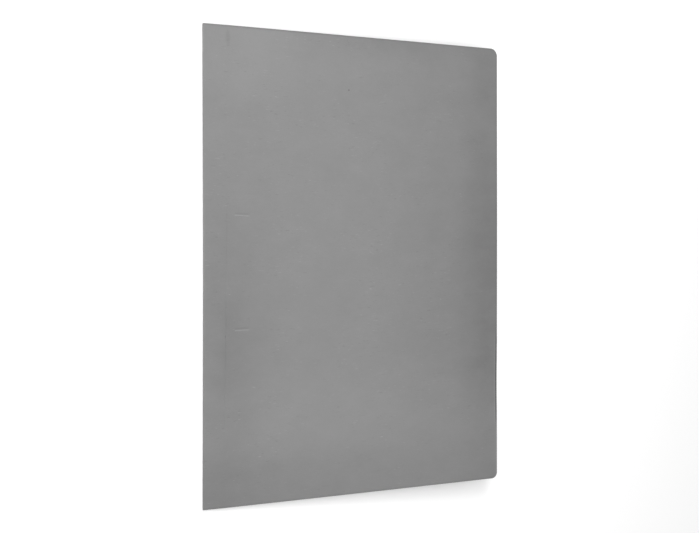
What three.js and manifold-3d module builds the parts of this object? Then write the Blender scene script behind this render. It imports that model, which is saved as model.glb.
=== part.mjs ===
// File folder: one sheet of card folded once into two covers.
// It lies on its plain back cover, with the fold along -X and the free edges along +X.
// The front cover is on top, sprung a little open, with a scored crease and slits beside the fold.
// Millimetres, +Z up. The origin is on the surface it lies on, under the middle of the back cover.

import * as THREE from 'three';
import { mergeVertices } from 'three/addons/utils/BufferGeometryUtils.js';
import Module from 'manifold-3d';

const wasm = await Module();
wasm.setup();

// The sheet
const coverWidth = 250; // fold to free edge
const coverHeight = 335; // along the fold
const cardThickness = 0.45;
const cornerRadius = 6; // the free corners, the ones at the fold are square

// The fold
const foldInnerRadius = 0.35;
const openAngle = THREE.MathUtils.degToRad(5.3); // of the front cover, where it leaves the fold

// The scored crease of the front cover, a groove outside and a bead inside
const creaseFromFold = 17; // fold's outside to the middle of the crease
const creaseWidth = 1;
const creaseDepth = 0.13;
const creaseBead = 0.1;
const creaseBend = THREE.MathUtils.degToRad(1.6); // the cover leans back towards level here

// The front cover bows over its width by this turn, crease to free edge
const bowAngle = THREE.MathUtils.degToRad(0.8);

// The slits for a filing fastener, across the front cover
const slitFromCrease = 7; // crease to the near end of a slit
const slitLength = 10;
const slitWidth = 0.2;
const slitSpacing = 80; // middle to middle, the usual spacing of filing holes
const slitShift = -5; // middle of the pair, from the middle of the cover's height

// How far a cutting shape stands out of the card
const cutMargin = 0.2;
const cornerMargin = 1;

// Points nearer to each other than this are one point
const mergeDistance = 1e-5;

// Steps of the round stretches
const foldSteps = 20;
const creaseSteps = 8;
const bowSteps = 14;
const cornerSteps = 12;
const slitEndSteps = 6;

const halfTurn = Math.PI;
const quarterTurn = Math.PI / 2;

// A unit vector at an angle from +X in the plane of the section
function direction(angle) {
  return new THREE.Vector2(Math.cos(angle), Math.sin(angle));
}

// The point a distance from another one, at an angle
function away(point, angle, distance) {
  return point.clone().addScaledVector(direction(angle), distance);
}

// Points of an arc with both its ends
function arc(centre, radius, from, to, steps) {
  return Array.from({ length: steps + 1 }, (_, i) =>
    away(centre, from + ((to - from) * i) / steps, radius));
}

// Points of a crease between two points, without the ends: the line dips to one side by the
// given depth, and its middle follows the bend of the card
function dip(from, bend, to, side, depth, steps) {
  const control = away(bend, side, 2 * depth);
  const curve = new THREE.QuadraticBezierCurve(from, control, to);
  return curve.getPoints(steps).slice(1, -1);
}

// The section of the folded sheet, seen along the fold: x across the covers, y is height
const foldOuterRadius = foldInnerRadius + cardThickness;
const foldCentre = new THREE.Vector2(-coverWidth / 2 + foldOuterRadius, foldOuterRadius);

const bowStartAngle = openAngle - creaseBend;
const bowEndAngle = bowStartAngle - bowAngle;
const bowLength = coverWidth - creaseFromFold - creaseWidth / 2;
const bowRadius = bowLength / bowAngle; // of the outer face

const stripNormal = openAngle + quarterTurn;
const bowStartNormal = bowStartAngle + quarterTurn;
const bowEndNormal = bowEndAngle + quarterTurn;
const creaseNormal = (stripNormal + bowStartNormal) / 2;

const stripStart = away(foldCentre, stripNormal, foldOuterRadius);
const creaseMiddle = away(stripStart, openAngle, creaseFromFold - foldOuterRadius);
const creaseStart = away(creaseMiddle, openAngle, -creaseWidth / 2);
const creaseEnd = away(creaseMiddle, bowStartAngle, creaseWidth / 2);
const bowCentre = away(creaseEnd, bowStartNormal, -bowRadius);

const creaseMiddleInside = away(creaseMiddle, creaseNormal, -cardThickness);
const creaseStartInside = away(creaseStart, stripNormal, -cardThickness);
const creaseEndInside = away(creaseEnd, bowStartNormal, -cardThickness);
const intoCard = creaseNormal + halfTurn;

const outsideFace = [
  new THREE.Vector2(coverWidth / 2, 0),
  ...arc(foldCentre, foldOuterRadius, halfTurn + quarterTurn, stripNormal, foldSteps),
  creaseStart,
  ...dip(creaseStart, creaseMiddle, creaseEnd, intoCard, creaseDepth, creaseSteps),
  ...arc(bowCentre, bowRadius, bowStartNormal, bowEndNormal, bowSteps),
];
const insideFace = [
  new THREE.Vector2(coverWidth / 2, cardThickness),
  ...arc(foldCentre, foldInnerRadius, halfTurn + quarterTurn, stripNormal, foldSteps),
  creaseStartInside,
  ...dip(creaseStartInside, creaseMiddleInside, creaseEndInside, intoCard, creaseBead, creaseSteps),
  ...arc(bowCentre, bowRadius - cardThickness, bowStartNormal, bowEndNormal, bowSteps),
];
const section = new THREE.Shape([...outsideFace, ...insideFace.reverse()]);

// A geometry with shared vertices, as a solid that can be cut
function solidOf(geometry) {
  geometry.deleteAttribute('normal');
  geometry.deleteAttribute('uv');
  const merged = mergeVertices(geometry, mergeDistance);
  return new wasm.Manifold(new wasm.Mesh({
    numProp: 3,
    vertProperties: Float32Array.from(merged.attributes.position.array),
    triVerts: Uint32Array.from(merged.index.array),
  }));
}

// A solid as a geometry with flat faces
function geometryOf(solid) {
  const mesh = solid.getMesh();
  const shared = new THREE.BufferGeometry();
  shared.setAttribute('position', new THREE.BufferAttribute(mesh.vertProperties, mesh.numProp));
  shared.setIndex(new THREE.BufferAttribute(mesh.triVerts, 1));
  const geometry = shared.toNonIndexed();
  geometry.computeVertexNormals();
  return geometry;
}

// The section carried along the fold
function foldedSheet() {
  const geometry = new THREE.ExtrudeGeometry(section, { depth: coverHeight, bevelEnabled: false });
  geometry.translate(0, 0, -coverHeight / 2);
  geometry.rotateX(quarterTurn);
  return solidOf(geometry);
}

// A cutting shape through the card. The shape is drawn on the cover, x away from the fold and
// y along it; at is the place of its origin on the outer face, and slope is the cover's there
function cutter(shape, at, along, slope) {
  const depth = cardThickness + 2 * cutMargin;
  const geometry = new THREE.ExtrudeGeometry(shape, { depth, bevelEnabled: false });
  geometry.translate(0, 0, -cardThickness - cutMargin);
  geometry.rotateY(-slope);
  geometry.translate(at.x, along, at.y);
  return solidOf(geometry);
}

// What a rounded corner loses: the square corner beyond its arc. Its origin is the corner, and
// up is 1 for the corner towards +Y and -1 for the one towards -Y
function cornerOffcut(up) {
  const arcCentre = new THREE.Vector2(-cornerRadius, -cornerRadius);
  const points = [
    ...arc(arcCentre, cornerRadius, 0, quarterTurn, cornerSteps),
    new THREE.Vector2(-cornerRadius, cornerMargin),
    new THREE.Vector2(cornerMargin, cornerMargin),
    new THREE.Vector2(cornerMargin, -cornerRadius),
  ];
  return new THREE.Shape(points.map((point) => new THREE.Vector2(point.x, up * point.y)));
}

// A slit with round ends. Its origin is the end near the fold
function slitOutline() {
  const endRadius = slitWidth / 2;
  const nearEnd = new THREE.Vector2(endRadius, 0);
  const farEnd = new THREE.Vector2(slitLength - endRadius, 0);
  return new THREE.Shape([
    ...arc(farEnd, endRadius, -quarterTurn, quarterTurn, slitEndSteps),
    ...arc(nearEnd, endRadius, quarterTurn, halfTurn + quarterTurn, slitEndSteps),
  ]);
}

// The place on the front cover's outer face, a distance beyond the crease, and its slope there
function onFrontCover(beyondCrease) {
  const turned = (beyondCrease - creaseWidth / 2) / bowRadius;
  return {
    at: away(bowCentre, bowStartNormal - turned, bowRadius),
    slope: bowStartAngle - turned,
  };
}

const frontEdge = away(bowCentre, bowEndNormal, bowRadius);
const backEdge = new THREE.Vector2(coverWidth / 2, cardThickness);
const slitMiddle = onFrontCover(slitFromCrease + slitLength / 2);
const slitStart = away(slitMiddle.at, slitMiddle.slope, -slitLength / 2);

let card = foldedSheet();
for (const up of [1, -1]) {
  const offcut = cornerOffcut(up);
  card = card.subtract(cutter(offcut, backEdge, up * coverHeight / 2, 0));
  card = card.subtract(cutter(offcut, frontEdge, up * coverHeight / 2, bowEndAngle));
  const along = slitShift + up * slitSpacing / 2;
  card = card.subtract(cutter(slitOutline(), slitStart, along, slitMiddle.slope));
}

const greyCard = new THREE.MeshStandardMaterial({ color: 0x939393, roughness: 0.88, metalness: 0 });
const foldedCard = new THREE.Mesh(geometryOf(card), greyCard);
foldedCard.name = 'folded_card';

const folder = new THREE.Group();
folder.name = 'file_folder';
folder.add(foldedCard);

export default folder;
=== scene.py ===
"""File folder of grey card, lying on its back cover with the front cover sprung a little open.

The card is one closed mesh. Its section is worked out from how far the card turns on its way from
the back cover's free edge, round the fold, to the front cover's free edge, and is carried along
the fold. Metres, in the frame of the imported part: +X from fold to free edge, +Y along the fold.

A point of the sheet has two places: s is its way along the sheet from the back cover's free
edge, and y is its way along the fold from the middle of the covers. Head is +Y, and foot is -Y.
"""

import math

import bpy
import numpy as np
from mathutils import Matrix, Vector


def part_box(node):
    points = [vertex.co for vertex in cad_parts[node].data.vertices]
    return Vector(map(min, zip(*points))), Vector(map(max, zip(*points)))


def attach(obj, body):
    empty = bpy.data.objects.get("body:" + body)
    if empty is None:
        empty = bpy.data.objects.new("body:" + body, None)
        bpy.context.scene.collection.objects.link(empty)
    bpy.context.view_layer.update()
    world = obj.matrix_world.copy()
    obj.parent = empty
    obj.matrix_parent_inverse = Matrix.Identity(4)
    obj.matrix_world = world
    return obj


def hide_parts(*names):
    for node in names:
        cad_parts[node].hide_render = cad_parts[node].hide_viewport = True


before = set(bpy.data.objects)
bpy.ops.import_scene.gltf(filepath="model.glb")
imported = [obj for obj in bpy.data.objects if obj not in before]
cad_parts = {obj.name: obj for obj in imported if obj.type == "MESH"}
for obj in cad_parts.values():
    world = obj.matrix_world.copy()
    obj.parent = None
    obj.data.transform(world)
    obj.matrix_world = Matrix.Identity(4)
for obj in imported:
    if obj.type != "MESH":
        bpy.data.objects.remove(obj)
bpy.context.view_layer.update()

MM = 0.001
HAIR = MM / 100  # less than the distance between any two lines of the grid

# The sheet, its overall size from the frame
card_low, card_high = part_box("folded_card")
COVER_WIDTH = card_high[0] - card_low[0]
COVER_HEIGHT = card_high[1] - card_low[1]
THICKNESS = 0.45 * MM
CORNER_RADIUS = 6 * MM
FOOT_CORNER_RADIUS = 4.8 * MM  # of the front cover's foot corner, cut a little tighter

# The fold, and the turns of the front cover in radians
FOLD_INNER_RADIUS = 0.35 * MM
FOLD_OUTER_RADIUS = FOLD_INNER_RADIUS + THICKNESS
FOLD_MID_RADIUS = FOLD_INNER_RADIUS + THICKNESS / 2
OPEN_ANGLE = math.radians(5.3)
CREASE_BEND = math.radians(1.6)
BOW_ANGLE = math.radians(0.8)

# Between its ends the fold bows in towards the free edges, and it leans in towards the foot
FOLD_BOW = 0.35 * MM
FOLD_LEAN = 0.0008  # inwards, for each metre below the head
FOLD_BOW_REACH = 60 * MM

# Down to the card's finish, of two lengths in brackets the first is where a fade starts or a bell
# has its middle, and the second is how far it reaches from there

# The scored crease of the front cover
CREASE_FROM_FOLD = 17 * MM
CREASE_WIDTH = 1 * MM
CREASE_BEND_REACH = 3 * CREASE_WIDTH
CREASE_DEPTH = 0.13 * MM
CREASE_LEAST = 0.2  # the share of the depth that it has everywhere
CREASE_DEEPEST = (-57 * MM, 40 * MM)
GROOVE_HALF_WIDTH = 0.38 * MM
CREASE_LEAN = 0.0085  # how far it drifts from the fold for each metre along it

# The slits of the front cover
SLIT_FROM_CREASE = 7 * MM
SLIT_LENGTH = 10 * MM
SLIT_GAPE = 0.12 * MM  # nearly closed outside, where the lips lean together
SLIT_BLUNTNESS = 5  # the power that rounds a slit's ends
SLIT_SPACING = 80 * MM
SLIT_SHIFT = -5 * MM
SLIT_LEANS = {1: -0.055, -1: 0.03}  # of the upper and the lower slit, as slopes on the cover
SLIT_LEAN_REACH = 4 * MM
LIP_PRESSED = {1: 0.08 * MM, -1: 0.2 * MM}  # in, at a slit's upper and lower lip
LIP_REACH = 0.8 * MM

# The cut edges roll over a little where the die came down
EDGE_ROLL = 0.06 * MM
EDGE_ROLL_REACH = 0.35 * MM

# Where the front cover's free edge curls in below its middle
CURL_DEPTH = 0.42 * MM
CURL_REACH = 26 * MM
CURL_TIGHT_REACH = 3 * MM  # of the half of the curl that is at the very edge
CURL_PLACE = (-94 * MM, 27 * MM)

# How far the front cover is from flat, in long waves that rise beyond the slits
WAVE_HEIGHT = 0.10 * MM
WAVE_LENGTH = 230 * MM
WAVE_PHASE = 0.7  # in radians, of the wave along the fold at the middle of the covers
WAVE_ACROSS = 0.5  # height of the wave across the cover, as a share of the one along the fold
WAVE_RISE = 120 * MM

# The way along the sheet
FOLD_START = COVER_WIDTH - FOLD_OUTER_RADIUS
FOLD_LENGTH = (math.pi - OPEN_ANGLE) * FOLD_MID_RADIUS
STRIP_START = FOLD_START + FOLD_LENGTH
CREASE_AT = STRIP_START + CREASE_FROM_FOLD - FOLD_OUTER_RADIUS
SHEET_LENGTH = CREASE_AT + COVER_WIDTH - CREASE_FROM_FOLD
SLIT_START = CREASE_AT + SLIT_FROM_CREASE
SLIT_END = SLIT_START + SLIT_LENGTH
SLIT_MIDDLE = (SLIT_START + SLIT_END) / 2
SLITS = [(SLIT_SHIFT + up * SLIT_SPACING / 2, SLIT_LEANS[up]) for up in (1, -1)]

# The grid of the sheet: room for closer lines beside the fold, the crease and the slits, and the
# rows across
CORNER_STEPS = 14
CORNER_ROOM = 4 * MM  # beside the corners, where rows start to close up
FOLD_ROOM = 3 * MM
CREASE_ROOM = 2.4 * MM
SLIT_ROOM = 6 * MM
EVEN_ROWS = 97
ROW_CLEARANCE = 1.2 * MM
ROWS_FROM_ENDS = np.array([0, 0.07, 0.16, 0.3, 0.5, 0.8, 1.3, 2.1, 3.2]) * MM
ROWS_FROM_SLITS = np.array([0.22, 0.45, 0.72, 1.1, 1.7, 2.7]) * MM
SHARP_ANGLE = math.radians(40)  # between two faces, from which their edge is shaded sharp

# Tones are shares of the card's own: how much darker it is, or lighter where the comment says so

# Painted shade along the crease: the front cover is darker to both sides, less so up the cover
CREASE_SIDES_TONE = 0.115
CREASE_SIDES_REACH = 28 * MM
CREASE_TONE = 0.025
CREASE_TONE_REACH = 4 * MM
CREASE_UPWARD_FADE = (-60 * MM, 170 * MM)
CREASE_FOOT_SHARE = 0.7  # what is left of it at the foot
CREASE_FOOT_REACH = 70 * MM

# Painted shade on the line pressed into the crease: its tone, and how strongly it shows,
# everywhere and at two places
LINE_TONE = 0.10
LINE_LEAST = 0.05
LOW_LINE = 0.95
LOW_LINE_PLACE = (-57 * MM, 24 * MM)
HIGH_LINE = 0.9
HIGH_LINE_PLACE = (20 * MM, 20 * MM)

# Painted shade in a band along the foot, weaker far from the fold
FOOT_TONE = 0.07
FOOT_FADE = (20 * MM, 22 * MM)
FOOT_LOSS = 0.9
FOOT_LOSS_FROM_FOLD = (110 * MM, 110 * MM)

# Painted shade in a band along the head, at one place on its way from the fold
HEAD_TONE = 0.10
HEAD_REACH = 20 * MM
HEAD_FROM_FOLD = (150 * MM, 50 * MM)

# Painted shade in a narrow and a wide band along the free edge, weaker towards the foot and
# the head
FREE_EDGE_TONE = 0.15
FREE_EDGE_FADE = (8 * MM, 40 * MM)
FREE_SIDE_TONE = 0.085
FREE_SIDE_FADE = (40 * MM, 90 * MM)
FREE_FOOT_LOSS = 0.5
FREE_FOOT_FADE = (-140 * MM, 60 * MM)
FREE_HEAD_LOSS = 0.3
FREE_HEAD_REACH = 120 * MM

# Painted light in paler places: down from the head beside the fold, and a belt above the foot
HEAD_PALER = 0.08
HEAD_PALER_FROM_FOLD = (38 * MM, 36 * MM)
HEAD_PALER_FADE = (30 * MM, 30 * MM)
LOW_PALER = 0.055
LOW_PALER_PLACE = (-108 * MM, 32 * MM)

# Painted light along the fold, near the middle of its height and at the head
FOLD_LIGHT_REACH = 0.62 * MM
FOLD_LIGHT_AT = FOLD_START + 0.35 * FOLD_LENGTH  # on the fold's side, away from the covers
FOLD_LIGHT_TONE = 0.54
FOLD_LIGHT_PLACE = (12 * MM, 80 * MM)
HEAD_FOLD_LIGHT_TONE = 0.55
HEAD_FOLD_LIGHT_REACH = 40 * MM

# Darker along the cut edges, more so at the head near the fold
EDGE_DARK_TONE = 0.24
EDGE_DARK_REACH = 0.55 * MM
EDGE_DARK_HEAD_FROM_FOLD = (60 * MM, 50 * MM)
EDGE_DARK_HEAD_REACH = 4 * MM

# Painted shade in the curl's dark line at the free edge, and painted highlight in its lighter
# fringe and in the lighter edge below it
CURL_LINE_SHADE = 0.50
CURL_LINE_MIDDLE = -89 * MM
CURL_LINE_FADE = (28 * MM, 12 * MM)  # along the edge, to both sides of its middle
CURL_LINE_IN = (0.8 * MM, 0.7 * MM)
CURL_FRINGE_HIGHLIGHT = 0.15
CURL_FRINGE_RISE = (1 * MM, 0.5 * MM)
CURL_FRINGE_FADE = (2 * MM, 0.6 * MM)
LOW_EDGE_HIGHLIGHT = 0.2
LOW_EDGE_FADE = (-134 * MM, 16 * MM)
LOW_EDGE_REACH = 1.5 * MM

# Painted highlight at a slit's upper lip, and a darker line of painted shadow above it
LIP_HIGHLIGHT = 0.46
LIP_HIGHLIGHT_ABOVE = 0.3 * MM
LIP_HIGHLIGHT_REACH = 0.28 * MM
LIP_HIGHLIGHT_END = 1 * MM
LIP_SHADE = 0.11
LIP_SHADE_LINE = (1.5 * MM, 0.6 * MM)

# How far before the front cover the painted shade and light start
FRONT_ONSET = 2 * MM

# The card's finish. A scale is how many cells of a noise lie in a metre along X, Y and Z, and a
# range is the part of a noise's values that counts
CARD_GREY = 0.20
CARD_ROUGHNESS = 0.9
ROUGHNESS_SPREAD = 0.04
CLOUD_SCALE = (45, 70, 45)
CLOUD_RANGE = (0.3, 0.7)
CLOUD_SPREAD = 0.038
PAINTED_SHADING_SPREAD = 0.1
GRAIN_SCALE = (1500, 2200, 1500)
GRAIN_RANGE = (0.25, 0.75)
GRAIN_SPREAD = 0.028
FIBRE_SCALE = (250, 1100, 250)
LIGHT_FIBRE_RANGE = (0.65, 0.77)
LIGHT_FIBRE = 0.26
DARK_FIBRE_RANGE = (0.36, 0.24)
DARK_FIBRE = 0.18
PATCH_SCALE = (40, 60, 40)
PATCH_RANGE = (0.42, 0.6)
PATCH_LEAST = 0.25
BREAK_SCALE = (20, 170, 20)
BREAK_RANGE = (0.42, 0.60)
BREAK_LEAST = 0.15
BUMP_HEIGHT = 0.05 * MM
BUMP_STRENGTH = 0.35
BUMP_FIBRE_SHARE = 0.7

# Small marks on the front cover: how far from the fold and up the cover they are, their width,
# length and depth, and how dark they are. The dash and the dent are painted shade on the crease
FLECK_PLACE = (115.4 * MM, 127.8 * MM)
FLECK_SIZE = (1.4 * MM, 1.3 * MM, 1.3 * MM)
FLECK_TONE = 0.65
DASH_PLACE = (18.4 * MM, 159.5 * MM)
DASH_SIZE = (4.6 * MM, 14 * MM, 4.6 * MM)
DASH_TONE = 0.09
DENT_PLACE = (16.6 * MM, -48.8 * MM)
DENT_SIZE = (1.2 * MM, 2.6 * MM, 1.2 * MM)
DENT_TONE = 0.20
MARK_CORE = 0.3  # the share of a mark's size that is fully dark
CLEAR_ABOVE = 1.0  # a height clear of the card, from which a mark's point on it is found

# The floor and the light
FLOOR_GREY = 0.96
FLOOR_SIZE = 8.0
FLOOR_BELOW = 0.05 * MM
SURROUNDINGS_STRENGTH = 0.72

# The photograph's camera
PHOTO_WIDTH = 699
PHOTO_HORIZON_ABOVE_MIDDLE = 26.5  # pixels
SENSOR_WIDTH = 36.0
FOCAL_LENGTH = 68.9
CAMERA_TURN = math.radians(30.39)  # from square on to the front cover, towards the fold
FOLD_DISTANCE = 0.9207  # along the view
FOLD_LEFT_OF_VIEW = 0.1012
CAMERA_UP = 0.0183  # along the fold, from the cover's middle


def ramp(value):
    """0 below 0, 1 above 1, and the value itself between."""
    return np.clip(value, 0, 1)


def rise(value, start, reach):
    """0 up to a start, 1 from a reach beyond it, and between them 3v^2 - 2v^3, where v is the
    share of the reach."""
    part = ramp((value - start) / reach)
    return part * part * (3 - 2 * part)


def fall(value, start, reach):
    """1 up to a start, and 0 from a reach beyond it: 1 less the rise between them."""
    return 1 - rise(value, start, reach)


def bell(value, middle, reach):
    """1 at a middle, falling off evenly to both sides: e to the minus v^2, where v is the
    distance from the middle in reaches."""
    away = (value - middle) / reach
    return np.exp(-away * away)


def fading(distance, reach):
    """1 at no distance, and e times less with each reach: e to the minus v."""
    return np.exp(-distance / reach)


def stretches(*runs):
    """Places along a line, from runs of (start, end, count), each evenly divided."""
    parts = [np.linspace(start, end, count, endpoint=False) for start, end, count in runs]
    return np.append(np.concatenate(parts), runs[-1][1])


def along_sheet():
    """Places along the sheet: close together at the round corners, the fold, the crease and the
    slits. At a corner of radius r they lie r(1 - cos a) from the free edge, for even angles a."""
    angles = np.linspace(0, math.pi / 2, CORNER_STEPS + 1)
    corner = CORNER_RADIUS * (1 - np.cos(angles))[:-1]
    middle = stretches(
        (CORNER_RADIUS, FOLD_START - FOLD_ROOM, 50),
        (FOLD_START - FOLD_ROOM, FOLD_START, 4),
        (FOLD_START, STRIP_START, 28),
        (STRIP_START, CREASE_AT - CREASE_ROOM, 12),
        (CREASE_AT - CREASE_ROOM, CREASE_AT + CREASE_ROOM, 40),
        (CREASE_AT + CREASE_ROOM, SLIT_START, 6),
        (SLIT_START, SLIT_END, 26),
        (SLIT_END, SLIT_END + SLIT_ROOM, 4),
        (SLIT_END + SLIT_ROOM, SHEET_LENGTH - CORNER_RADIUS, 66),
    )
    return np.concatenate([corner, middle, SHEET_LENGTH - corner[::-1]])


def across_sheet():
    """Places across the sheet: even rows, with closer ones at both ends and beside the slits."""
    half = COVER_HEIGHT / 2
    fine = [ROWS_FROM_ENDS - half, half - ROWS_FROM_ENDS]
    for middle, _ in SLITS:
        fine += [middle - ROWS_FROM_SLITS, [middle], middle + ROWS_FROM_SLITS]
    fine = np.concatenate(fine)
    even = np.linspace(-half, half, EVEN_ROWS)
    clear = np.abs(even[:, None] - fine[None, :]).min(axis=1) > ROW_CLEARANCE
    return np.sort(np.concatenate([fine, even[clear]]))


def half_height(s, y):
    """Half the sheet's height at a place along it, on the side of the middle where y lies: less
    by the corner arc near a free edge."""
    at_front_foot = (s > SHEET_LENGTH / 2) & (y < 0)
    radius = np.where(at_front_foot, FOOT_CORNER_RADIUS, CORNER_RADIUS)
    inside = np.clip(radius - np.minimum(s, SHEET_LENGTH - s), 0, radius)
    return COVER_HEIGHT / 2 - radius + np.sqrt(radius**2 - inside**2)


def edge_distance(s, y):
    """Distance to the nearest cut edge of the sheet."""
    ends = np.minimum(s, SHEET_LENGTH - s)
    return np.minimum(ends, half_height(s, y) - np.abs(y))


def crease_place(y):
    """How far along the sheet the crease lies: it leans a little against the fold."""
    return CREASE_AT + CREASE_LEAN * y


def crease_strength(y):
    """How deep the crease is at a height on the cover, as a share of its depth: deepest below
    the middle, falling off to both ends."""
    return CREASE_LEAST + (1 - CREASE_LEAST) * bell(y, *CREASE_DEEPEST)


def slit_gape(s):
    """How wide a slit stands open along its length, as a share of its gape: the root of
    1 - v^5, where v goes from 0 at its middle to 1 at its ends."""
    off = np.abs(s - SLIT_MIDDLE) / (SLIT_LENGTH / 2)
    return np.sqrt(np.clip(1 - off**SLIT_BLUNTNESS, 0, 1))


def heading(s, y):
    """The angle in which the section runs: from the back cover's free edge it runs level to the
    fold, turns by nearly half a turn there, then by the crease's bend and the cover's bow."""
    fold = (math.pi - OPEN_ANGLE) * ramp((s - FOLD_START) / FOLD_LENGTH)
    bend_start = crease_place(y) - CREASE_BEND_REACH / 2
    crease = CREASE_BEND * rise(s, bend_start, CREASE_BEND_REACH)
    bow = BOW_ANGLE * ramp((s - CREASE_AT) / (SHEET_LENGTH - CREASE_AT))
    return math.pi - fold - crease - bow


def lift(s, y, sides):
    """How far the sheet's middle stands out of its plain section, outwards: minus the crease's
    groove, the rolled edges, the curl at the free edge and the slits' lips, plus long waves.
    sides says of each slit whether a point belongs to its upper lip, 1, or lower lip, -1."""
    from_free = SHEET_LENGTH - s
    groove = CREASE_DEPTH * crease_strength(y) * bell(s, crease_place(y), GROOVE_HALF_WIDTH)
    roll = EDGE_ROLL * fading(edge_distance(s, y), EDGE_ROLL_REACH)
    curl = bell(from_free, 0, CURL_REACH) + bell(from_free, 0, CURL_TIGHT_REACH)
    curl = CURL_DEPTH / 2 * curl * bell(y, *CURL_PLACE)
    wave = np.sin(2 * math.pi * y / WAVE_LENGTH + WAVE_PHASE)
    wave = wave + WAVE_ACROSS * np.sin(2 * math.pi * s / WAVE_LENGTH)
    wave = WAVE_HEIGHT * rise(s, SLIT_END, WAVE_RISE) * wave
    out = wave - groove - roll - curl
    for (middle, _), side in zip(SLITS, sides):
        lip = slit_gape(s) * fading(np.abs(y - middle), LIP_REACH)
        out = out - lip * np.where(side > 0, LIP_PRESSED[1], LIP_PRESSED[-1])
    return out


def shift(s, y, sides):
    """How far a point moves along the fold: the lips of a slit part by its gape, and lean."""
    total = np.zeros_like(y)
    for (middle, lean), side in zip(SLITS, sides):
        near = fading(np.abs(y - middle), LIP_REACH)
        total = total + side * SLIT_GAPE / 2 * slit_gape(s) * near
        window = bell(s, SLIT_MIDDLE, SLIT_LENGTH) * bell(y, middle, SLIT_LEAN_REACH)
        total = total + lean * (s - SLIT_MIDDLE) * window
    return total


def sheet_grid():
    """The lines of the grid along and across the sheet, and the places of its points. Rows
    beyond the start of the corners close up towards the corner arc."""
    s_line, y_line = along_sheet(), across_sheet()
    s, y = np.meshgrid(s_line, y_line, indexing="ij")
    straight = COVER_HEIGHT / 2 - CORNER_RADIUS - CORNER_ROOM
    squeeze = (half_height(s, y) - straight) / (COVER_HEIGHT / 2 - straight)
    beyond = np.clip(np.abs(y) - straight, 0, None)
    y = np.sign(y) * (np.minimum(np.abs(y), straight) + beyond * squeeze)
    return s_line, y_line, s, y


def section(s, y):
    """The section's x, z and heading at each point. x and z are the running sums of the steps in
    the direction of the heading, and x moves in near the fold by a parabola and a slope."""
    turn = heading(s, y)
    step = np.diff(s, axis=0)
    between = (turn[1:] + turn[:-1]) / 2
    start = np.zeros((1, s.shape[1]))
    x = np.cumsum(np.vstack([start, step * np.cos(between)]), axis=0) + COVER_WIDTH / 2
    z = np.cumsum(np.vstack([start, step * np.sin(between)]), axis=0) + THICKNESS / 2
    bow = FOLD_BOW * (1 - (2 * y / COVER_HEIGHT) ** 2) + FOLD_LEAN * (COVER_HEIGHT / 2 - y)
    return x + bow * bell(s, FOLD_START, FOLD_BOW_REACH), z, turn


def split_at_slits(s_line, y_line, y):
    """The grid's points split along each slit, where the lower lip has points of its own between
    the slit's two ends.

    Gives the points' numbers for the faces above a row and for those below it, the grid point
    that each point comes from, and for each slit whether a point is above it, 1, or below, -1."""
    above = np.arange(y.size).reshape(y.shape)
    below = above.copy()
    source = above.ravel()
    columns = np.nonzero((s_line > SLIT_START + HAIR) & (s_line < SLIT_END - HAIR))[0]
    rows = [np.abs(y_line - middle).argmin() for middle, _ in SLITS]
    for row in rows:
        below[columns, row] = len(source) + np.arange(len(columns))
        source = np.append(source, above[columns, row])
    sides = [np.where(y.ravel()[source] >= middle, 1, -1) for middle, _ in SLITS]
    for side, row in zip(sides, rows):
        side[below[columns, row]] = -1
    return above, below, source, sides


def sheet_middle():
    """The sheet's middle surface: points, faces, and each point's place along and across. A
    point of the section is moved outwards by its lift and along the fold by its shift."""
    s_line, y_line, s, y = sheet_grid()
    x, z, turn = section(s, y)
    above, below, source, sides = split_at_slits(s_line, y_line, y)
    s, y, x, z, turn = (values.ravel()[source] for values in (s, y, x, z, turn))
    out = lift(s, y, sides)
    moved = [x - np.sin(turn) * out, y + shift(s, y, sides), z + np.cos(turn) * out]
    corners = [above[:-1, :-1], above[1:, :-1], below[1:, 1:], below[:-1, 1:]]
    return np.stack(moved, axis=1), np.stack(corners, axis=-1).reshape(-1, 4), s, y


def point_normals(points, faces):
    """At each point the mean of the normals of its faces, by their areas."""
    a, b, c, d = (points[faces[:, k]] for k in range(4))
    normals = np.cross(c - a, d - b)
    total = np.zeros_like(points)
    for k in range(4):
        np.add.at(total, faces[:, k], normals)
    return total / np.linalg.norm(total, axis=1, keepdims=True)


def rim_faces(faces, count):
    """Faces that join the outside to the inside along every open edge of the sheet. An edge is
    open if no other face runs along it the other way."""
    starts = faces.ravel()
    ends = np.roll(faces, -1, axis=1).ravel()
    key, back = starts * count + ends, ends * count + starts
    is_open = ~np.isin(key, back)
    a, b = starts[is_open], ends[is_open]
    return np.stack([b, a, a + count, b + count], axis=1)


def crease_shade_line(y):
    """How dark the painted shade of the line on the crease is at a height on the cover: it shows
    most below the middle, a little above the middle, and hardly elsewhere."""
    low = LOW_LINE * bell(y, *LOW_LINE_PLACE)
    high = HIGH_LINE * bell(y, *HIGH_LINE_PLACE)
    return LINE_LEAST + low + high


def crease_shade(s, y):
    """How much painted shade darkens it across the crease: a wide bell, and a narrow one along the
    pressed line. It fades up the cover, and a little towards the foot."""
    wide = CREASE_SIDES_TONE * bell(s, CREASE_AT, CREASE_SIDES_REACH)
    narrow = CREASE_TONE * crease_shade_line(y) * bell(s, crease_place(y), CREASE_TONE_REACH)
    from_foot = rise(COVER_HEIGHT / 2 + y, 0, CREASE_FOOT_REACH)
    kept = CREASE_FOOT_SHARE + (1 - CREASE_FOOT_SHARE) * from_foot
    return (wide + narrow) * fall(y, *CREASE_UPWARD_FADE) * kept


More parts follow.
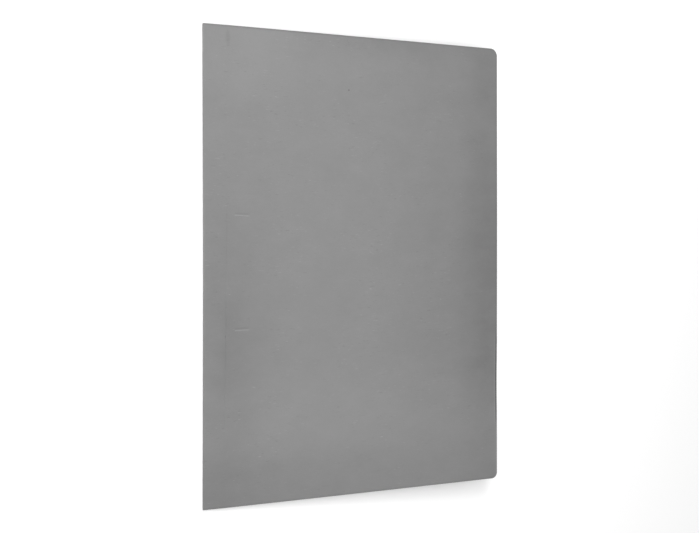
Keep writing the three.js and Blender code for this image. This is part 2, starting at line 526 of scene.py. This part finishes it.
def painted_shading(s, y):
    """How much darker the front cover is drawn by painted shade: across the crease, and in bands
    that fade away from the other edges, less the paler places of painted light."""
    from_fold = s - STRIP_START
    from_free = SHEET_LENGTH - s
    from_head = COVER_HEIGHT / 2 - y
    from_foot = COVER_HEIGHT / 2 + y
    foot = FOOT_TONE * fall(from_foot, *FOOT_FADE)
    foot = foot * (1 - FOOT_LOSS * rise(from_fold, *FOOT_LOSS_FROM_FOLD))
    head = HEAD_TONE * fall(from_head, 0, HEAD_REACH) * bell(from_fold, *HEAD_FROM_FOLD)
    free = FREE_EDGE_TONE * fall(from_free, *FREE_EDGE_FADE)
    free = free + FREE_SIDE_TONE * fall(from_free, *FREE_SIDE_FADE)
    loss = FREE_FOOT_LOSS * fall(y, *FREE_FOOT_FADE) + FREE_HEAD_LOSS * rise(y, 0, FREE_HEAD_REACH)
    pale = HEAD_PALER * bell(from_fold, *HEAD_PALER_FROM_FOLD) * fall(from_head, *HEAD_PALER_FADE)
    pale = pale + LOW_PALER * bell(y, *LOW_PALER_PLACE)
    total = crease_shade(s, y) + foot + head + free * (1 - loss) - pale
    return total * rise(from_fold, -FRONT_ONSET, FRONT_ONSET)


def edge_tone(s, y):
    """How much darker the card is at its cut edges: it fades inwards from every edge, and is
    stronger at the head beside the fold. Where the free edge curls in it has a dark line of
    painted shade with a painted highlight inside it, and below the curl a painted highlight makes
    it paler."""
    from_fold = s - STRIP_START
    from_free = SHEET_LENGTH - s
    from_head = COVER_HEIGHT / 2 - y
    at_head = bell(from_fold, *EDGE_DARK_HEAD_FROM_FOLD) * fall(from_head, 0, EDGE_DARK_HEAD_REACH)
    edge_dark = fading(np.clip(edge_distance(s, y), 0, None), EDGE_DARK_REACH) * (1 + at_head)
    in_curl = fall(np.abs(y - CURL_LINE_MIDDLE), *CURL_LINE_FADE)
    line = in_curl * fall(from_free, *CURL_LINE_IN)
    fringe = in_curl * rise(from_free, *CURL_FRINGE_RISE) * fall(from_free, *CURL_FRINGE_FADE)
    low = fall(y, *LOW_EDGE_FADE) * bell(from_free, 0, LOW_EDGE_REACH)
    darker = EDGE_DARK_TONE * edge_dark + CURL_LINE_SHADE * line
    return darker - CURL_FRINGE_HIGHLIGHT * fringe - LOW_EDGE_HIGHLIGHT * low


def painted_fold_light(s, y):
    """How much painted light brightens the card along the fold: in a narrow bell round it,
    strongest near the middle of the height and at the head."""
    at_middle = FOLD_LIGHT_TONE * bell(y, *FOLD_LIGHT_PLACE)
    at_head = HEAD_FOLD_LIGHT_TONE * bell(COVER_HEIGHT / 2 - y, 0, HEAD_FOLD_LIGHT_REACH)
    return (at_middle + at_head) * bell(s, FOLD_LIGHT_AT, FOLD_LIGHT_REACH)


def slit_painted_lights(s, y):
    """How much lighter, or where negative darker, the card is at the slits: a painted highlight on
    the upper lip, falling off to both sides, and a little painted shadow above that."""
    near_end = rise(s, SLIT_START - LIP_HIGHLIGHT_END, LIP_HIGHLIGHT_END)
    far_end = fall(s, SLIT_END - LIP_HIGHLIGHT_END / 2, LIP_HIGHLIGHT_END)
    total = np.zeros_like(y)
    for middle, _ in SLITS:
        light = LIP_HIGHLIGHT * fading(np.abs(y - middle - LIP_HIGHLIGHT_ABOVE), LIP_HIGHLIGHT_REACH)
        dark = LIP_SHADE * bell(y - middle, *LIP_SHADE_LINE)
        total = total + near_end * far_end * (light - dark)
    return total


def folded_card():
    """The card: its middle surface moved out and in by half its thickness, and closed at the
    rims. Each point carries the painted shade along the crease's line, strongest nearest it, how
    much darker it is at the edges with painted shade and highlight where the free edge curls, the
    painted shade and light over the front cover, and the painted light on the fold and at a slit."""
    middle, faces, s, y = sheet_middle()
    normals = point_normals(middle, faces)
    points = np.concatenate([middle + normals * THICKNESS / 2, middle - normals * THICKNESS / 2])
    count = len(middle)
    all_faces = np.concatenate([faces, faces[:, ::-1] + count, rim_faces(faces, count)])
    mesh = bpy.data.meshes.new("card_sheet")
    mesh.from_pydata(points.tolist(), [], all_faces.tolist())
    mesh.polygons.foreach_set("use_smooth", np.ones(len(mesh.polygons), bool))
    mesh.set_sharp_from_angle(angle=SHARP_ANGLE)
    marks = {
        "edge_dark_and_painted_light": edge_tone(s, y),
        "crease_line_shade": crease_shade_line(y) * bell(s, crease_place(y), GROOVE_HALF_WIDTH),
        "painted_fold_light": painted_fold_light(s, y),
        "slit_painted_light": slit_painted_lights(s, y),
        "painted_shading": painted_shading(s, y),
    }
    for name, values in marks.items():
        attribute = mesh.attributes.new(name, "FLOAT", "POINT")
        attribute.data.foreach_set("value", np.tile(values, 2).astype(np.float32))
    mesh.update()
    card = bpy.data.objects.new("card_sheet", mesh)
    bpy.context.scene.collection.objects.link(card)
    return card


class Finish:
    """A material's nodes, made one by one. A value that is a socket is linked, and any other
    is set on the node's input."""

    def __init__(self, name):
        self.material = bpy.data.materials.new(name)
        self.material.use_nodes = True
        self.tree = self.material.node_tree
        self.shader = self.tree.nodes["Principled BSDF"]

    def put(self, node, inputs):
        for name, value in inputs.items():
            socket = node.inputs[name]
            if isinstance(value, bpy.types.NodeSocket):
                self.tree.links.new(value, socket)
            else:
                socket.default_value = value

    def add(self, kind, inputs, **settings):
        node = self.tree.nodes.new("ShaderNode" + kind)
        for name, value in settings.items():
            setattr(node, name, value)
        self.put(node, inputs)
        return node

    def maths(self, operation, a, b=0.0, c=0.0):
        node = self.add("Math", {0: a, 1: b, 2: c}, operation=operation)
        return node.outputs[0]

    def place(self):
        return self.add("TexCoord", {}).outputs["Object"]

    def noise(self, place, scale, detail, roughness=0.5):
        """Noise with a scale of its own along each axis."""
        scaled = self.add("Mapping", {"Vector": place, "Scale": scale}).outputs["Vector"]
        inputs = {"Vector": scaled, "Scale": 1.0, "Detail": detail, "Roughness": roughness}
        return self.add("TexNoise", inputs).outputs["Fac"]

    def remap(self, value, span, to_low, to_high):
        """A value over a span, taken to a low and a high, and held there outside it."""
        inputs = {"Value": value, "From Min": span[0], "From Max": span[1],
                  "To Min": to_low, "To Max": to_high}
        return self.add("MapRange", inputs).outputs["Result"]

    def varied(self, value, span, spread):
        """A factor that varies by a spread to both sides of 1."""
        return self.remap(value, span, 1 - spread, 1 + spread)

    def darkened(self, share, tone):
        """A factor of 1 where a share is 0, and less by a tone where it is 1."""
        return self.remap(share, (0.0, 1.0), 1.0, 1 - tone)

    def attribute(self, name):
        return self.add("Attribute", {}, attribute_name=name).outputs["Fac"]

    def spot(self, place, middle, size):
        """1 in the core of an oval round a middle, falling to 0 at its rim."""
        scale = [2 / width for width in size]
        offset = [-where * factor for where, factor in zip(middle, scale)]
        moved = self.add("Mapping", {"Vector": place, "Location": offset, "Scale": scale})
        inputs = {0: moved.outputs["Vector"]}
        length = self.add("VectorMath", inputs, operation="LENGTH").outputs["Value"]
        return self.remap(length, (MARK_CORE, 1.0), 1.0, 0.0)


def on_front_cover(card, from_fold, y):
    """The point of the front cover's outer face that lies below a place on its outline."""
    above = Vector((card_low[0] + from_fold, y, CLEAR_ABOVE))
    return card.ray_cast(above, Vector((0, 0, -1)))[1]


def grey_card(card):
    """Uncoated grey card: cloudy fibre, short light and dark fibres lying across the folder in
    patches, fine grain, darker edges, a broken line of painted shade on the crease, painted light
    on the fold and at the slits, painted shade and light over the front cover, and three small
    marks, two of them painted shade on the crease."""
    finish = Finish("grey_card_finish")
    place = finish.place()
    cloud = finish.noise(place, CLOUD_SCALE, detail=5.0, roughness=0.68)
    grain = finish.noise(place, GRAIN_SCALE, detail=2.0, roughness=0.6)
    fibre = finish.noise(place, FIBRE_SCALE, detail=2.0, roughness=0.55)
    patches = finish.noise(place, PATCH_SCALE, detail=1.0)
    patches = finish.remap(patches, PATCH_RANGE, PATCH_LEAST, 1.0)
    breaks = finish.noise(place, BREAK_SCALE, detail=1.0)
    breaks = finish.remap(breaks, BREAK_RANGE, BREAK_LEAST, 1.0)

    light = finish.maths("MULTIPLY", finish.remap(fibre, LIGHT_FIBRE_RANGE, 0.0, 1.0), patches)
    dark = finish.maths("MULTIPLY", finish.remap(fibre, DARK_FIBRE_RANGE, 0.0, 1.0), patches)
    line_shade = finish.maths("MULTIPLY", finish.attribute("crease_line_shade"), breaks)
    uneven = finish.varied(cloud, CLOUD_RANGE, -PAINTED_SHADING_SPREAD)
    darker = finish.maths("MULTIPLY", finish.attribute("painted_shading"), uneven)
    fleck = finish.spot(place, on_front_cover(card, *FLECK_PLACE), FLECK_SIZE)
    crease_dash_shade = finish.spot(place, on_front_cover(card, *DASH_PLACE), DASH_SIZE)
    crease_dent_shade = finish.spot(place, on_front_cover(card, *DENT_PLACE), DENT_SIZE)

    # each is a factor about 1, and the card's tone is their product
    tones = [
        finish.varied(cloud, CLOUD_RANGE, CLOUD_SPREAD),
        finish.varied(grain, GRAIN_RANGE, GRAIN_SPREAD),
        finish.maths("MULTIPLY_ADD", light, LIGHT_FIBRE, 1.0),
        finish.maths("MULTIPLY_ADD", dark, -DARK_FIBRE, 1.0),
        # below, all but the fleck and the edges' dark line away from the curl are painted shade
        # and light
        finish.maths("SUBTRACT", 1.0, finish.attribute("edge_dark_and_painted_light")),
        finish.maths("ADD", 1.0, finish.attribute("painted_fold_light")),
        finish.maths("ADD", 1.0, finish.attribute("slit_painted_light")),
        finish.darkened(line_shade, LINE_TONE),
        finish.maths("SUBTRACT", 1.0, darker),
        finish.darkened(fleck, FLECK_TONE),
        finish.darkened(crease_dash_shade, DASH_TONE),
        finish.darkened(crease_dent_shade, DENT_TONE),
    ]
    grey = CARD_GREY
    for tone in tones:
        grey = finish.maths("MULTIPLY", tone, grey)
    colour = finish.add("CombineColor", {"Red": grey, "Green": grey, "Blue": grey})

    rough_fibre = finish.maths("MULTIPLY", fibre, BUMP_FIBRE_SHARE)
    rough_grain = finish.maths("MULTIPLY", grain, 1 - BUMP_FIBRE_SHARE)
    height = finish.maths("ADD", rough_fibre, rough_grain)
    bump = {"Height": height, "Strength": BUMP_STRENGTH, "Distance": BUMP_HEIGHT}
    smoothest, roughest = CARD_ROUGHNESS - ROUGHNESS_SPREAD, CARD_ROUGHNESS + ROUGHNESS_SPREAD
    finish.put(finish.shader, {
        "Base Color": colour.outputs["Color"],
        "Roughness": finish.remap(cloud, CLOUD_RANGE, smoothest, roughest),
        "Normal": finish.add("Bump", bump).outputs["Normal"],
        "Specular IOR Level": 0.3,
    })
    return finish.material


def pale_floor():
    """A plain pale floor just under the card."""
    half = FLOOR_SIZE / 2
    corners = [(-half, -half), (half, -half), (half, half), (-half, half)]
    mesh = bpy.data.meshes.new("floor")
    mesh.from_pydata([(x, y, -FLOOR_BELOW) for x, y in corners], [], [(0, 1, 2, 3)])
    floor = bpy.data.objects.new("floor", mesh)
    bpy.context.scene.collection.objects.link(floor)
    finish = Finish("pale_floor_finish")
    finish.put(finish.shader, {
        "Base Color": (FLOOR_GREY, FLOOR_GREY, FLOOR_GREY, 1.0),
        "Roughness": 0.9,
        "Specular IOR Level": 0.1,
    })
    mesh.materials.append(finish.material)


def softbox(name, place, target, width, length, power):
    """An oblong soft light at a place, turned to its target, and out of the camera's sight."""
    light = bpy.data.lights.new(name, "AREA")
    light.shape = "RECTANGLE"
    light.size = width
    light.size_y = length
    light.energy = power
    lamp = bpy.data.objects.new(name, light)
    lamp.location = place
    towards = Vector(target) - Vector(place)
    lamp.rotation_euler = towards.to_track_quat("-Z", "Y").to_euler()
    lamp.visible_camera = False
    bpy.context.scene.collection.objects.link(lamp)


def studio_light():
    """Even pale surroundings and soft lights above the folder."""
    world = bpy.data.worlds.new("studio")
    world.use_nodes = True
    background = world.node_tree.nodes["Background"]
    background.inputs["Color"].default_value = (1.0, 1.0, 1.0, 1.0)
    background.inputs["Strength"].default_value = SURROUNDINGS_STRENGTH
    bpy.context.scene.world = world
    softbox("key_light", place=(-0.12, 0.22, 0.55), target=(-0.12, 0.22, 0.0),
            width=0.35, length=1.2, power=2.6)
    softbox("head_light", place=(-0.10, 1.00, 1.00), target=(-0.05, 0.0, 0.0),
            width=0.6, length=0.6, power=4.0)
    softbox("fold_light", place=(-1.20, 0.0, 0.35), target=(-0.12, 0.0, 0.0),
            width=0.5, length=0.5, power=2.2)


def photo_camera():
    """The camera of the photograph: turned towards the fold side from square on to the front
    cover, upright along the fold, with the horizon moved by lens shift."""
    cover_slope = OPEN_ANGLE - CREASE_BEND - BOW_ANGLE / 2
    tilt = CAMERA_TURN + cover_slope
    right = Vector((math.cos(tilt), 0, math.sin(tilt)))
    up = Vector((0, 1, 0))
    ahead = Vector((math.sin(tilt), 0, -math.cos(tilt)))
    fold_middle = Vector((-COVER_WIDTH / 2 + FOLD_OUTER_RADIUS, 0, FOLD_OUTER_RADIUS))
    fold_side = fold_middle - right * FOLD_OUTER_RADIUS
    place = fold_side + right * FOLD_LEFT_OF_VIEW - ahead * FOLD_DISTANCE + up * CAMERA_UP
    camera = bpy.data.cameras.new("photo_camera")
    camera.sensor_width = SENSOR_WIDTH
    camera.lens = FOCAL_LENGTH
    camera.shift_y = -PHOTO_HORIZON_ABOVE_MIDDLE / PHOTO_WIDTH
    camera.clip_start = 0.01
    camera.clip_end = 50
    holder = bpy.data.objects.new("photo_camera", camera)
    turned = Matrix((right, up, -ahead)).transposed().to_4x4()
    holder.matrix_world = Matrix.Translation(place) @ turned
    bpy.context.scene.collection.objects.link(holder)
    bpy.context.scene.camera = holder


card = folded_card()
card.data.materials.append(grey_card(card))
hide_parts("folded_card")
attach(card, "root")

pale_floor()
studio_light()
photo_camera()
bpy.context.scene.view_settings.view_transform = "Standard"
